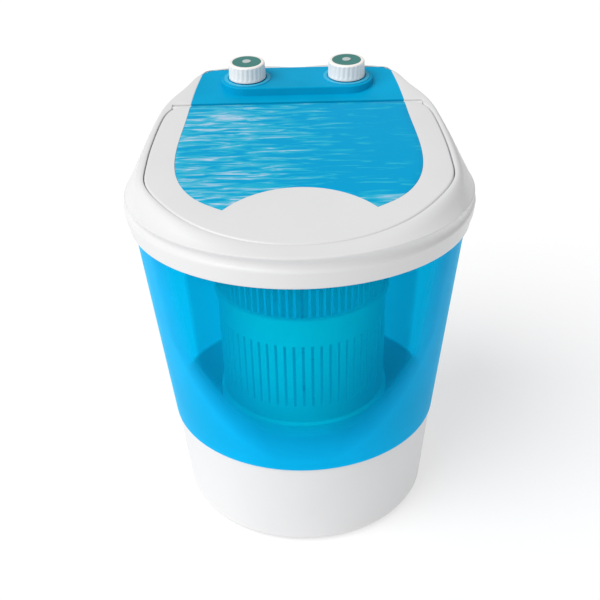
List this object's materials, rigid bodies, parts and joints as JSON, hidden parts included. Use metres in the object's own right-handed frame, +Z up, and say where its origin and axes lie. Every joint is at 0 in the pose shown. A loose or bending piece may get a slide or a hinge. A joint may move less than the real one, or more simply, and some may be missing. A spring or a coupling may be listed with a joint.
{
  "type": "top load washing machine",
  "caption": "Small top load washing machine: white base and top housing, translucent blue casing, sloping hinged lid, control knobs, spin basket and belt drive.",
  "frame": {"origin": "on the floor under the middle of the machine, on the wash tub's axis", "axes": "+Z up along the tub's axis, +X to the user's right, the user stands on the -Y side, the controls are at +Y"},
  "size_m": [0.3708, 0.3647, 0.4718],
  "materials": {
    "white_shell": "smooth moulded ABS, soft gloss",
    "blue_casing": "translucent blue moulded plastic",
    "blue_glazing": "translucent blue lid glazing with a rippled print",
    "blue_deck": "tinted blue control deck",
    "blue_tub": "pale translucent blue tub",
    "turquoise_basket": "turquoise moulded basket",
    "pulsator_plastic": "pale moulded plastic",
    "knob_white": "satin moulded plastic",
    "knob_teal": "teal inlay ring",
    "knob_cap_grey": "pale grey centre cap",
    "blue_trim": "lighter blue raised ring",
    "steel": "turned steel",
    "bearing_steel": "ground bearing steel",
    "zinc_plate": "zinc plated sheet",
    "motor_paint": "dark painted motor shell",
    "cast_aluminium": "die cast",
    "pulley_plastic": "black nylon",
    "pulley_metal": "turned aluminium",
    "black_rubber": "black rubber",
    "grey_rubber": "grey rubber",
    "white_fitting": "white polypropylene",
    "control_plastic": "ivory control housing",
    "capacitor_grey": "grey capacitor can",
    "black_lead": "sleeved wiring"
  },
  "bodies": {
    "root": {"base_housing": "white_shell", "bottom_cover": "white_shell", "top_frame": "white_shell", "outer_casing": "blue_casing", "control_deck": "blue_deck", "wash_tub": "blue_tub", "timer_dial_ring": "blue_trim", "selector_dial_ring": "blue_trim", "cover_screws": "steel", "bracket_screws": "steel", "housing_screws": "steel", "control_screws": "steel", "upper_bearing": "bearing_steel", "lower_bearing": "bearing_steel", "motor_bracket": "zinc_plate", "drive_motor": "motor_paint", "bearing_housing": "cast_aluminium", "drive_belt": "black_rubber", "water_seal": "black_rubber", "tub_gasket": "grey_rubber", "rubber_feet": "grey_rubber", "cord_grommet": "black_rubber", "drain_elbow": "black_rubber", "drain_spigot": "white_fitting", "drain_strainer": "white_fitting", "harness_clips": "white_fitting", "wash_timer": "control_plastic", "selector_switch": "control_plastic", "run_capacitor": "capacitor_grey", "capacitor_clip": "zinc_plate", "wiring_harness": "black_lead"},
    "lid": {"lid_frame": "white_shell", "lid_window": "blue_glazing", "lid_hinge_pins": "steel", "lid_bumpers": "grey_rubber"},
    "timer_control": {"timer_knob": "knob_white", "timer_knob_ring": "knob_teal", "timer_knob_cap": "knob_cap_grey", "timer_shaft": "steel"},
    "selector_control": {"selector_knob": "knob_white", "selector_knob_ring": "knob_teal", "selector_knob_cap": "knob_cap_grey", "selector_shaft": "steel"},
    "rotor": {"drive_shaft": "steel", "pulsator": "pulsator_plastic", "pulsator_screw": "steel", "spin_basket": "turquoise_basket", "large_pulley": "pulley_plastic", "pulley_nut": "steel"},
    "motor_rotor": {"motor_shaft": "steel", "small_pulley": "pulley_metal"}
  },
  "joints": [
    {"name": "lid_hinge", "type": "hinge", "parent": "root", "child": "lid", "pos_m": [0, 0.0885, 0.4308], "axis": [-1, 0, 0], "range_deg": [0, 105]},
    {"name": "timer_turn", "type": "hinge", "parent": "root", "child": "timer_control", "pos_m": [-0.0567, 0.138, 0.4503], "axis": [0, 0.1221, -0.9925], "range_deg": [0, 300]},
    {"name": "selector_turn", "type": "hinge", "parent": "root", "child": "selector_control", "pos_m": [0.0567, 0.138, 0.4503], "axis": [0, 0.1221, -0.9925], "range_deg": [-60, 60]},
    {"name": "rotor_spin", "type": "hinge", "parent": "root", "child": "rotor", "pos_m": [0, 0, 0.1], "axis": [0, 0, 1], "continuous": true},
    {"name": "motor_spin", "type": "hinge", "parent": "root", "child": "motor_rotor", "pos_m": [0, 0.095, 0.03], "axis": [0, 0, 1], "continuous": true}
  ],
  "couplings": [
    {"joint": "motor_spin", "follows": "rotor_spin", "ratio": 6.3191}
  ]
}
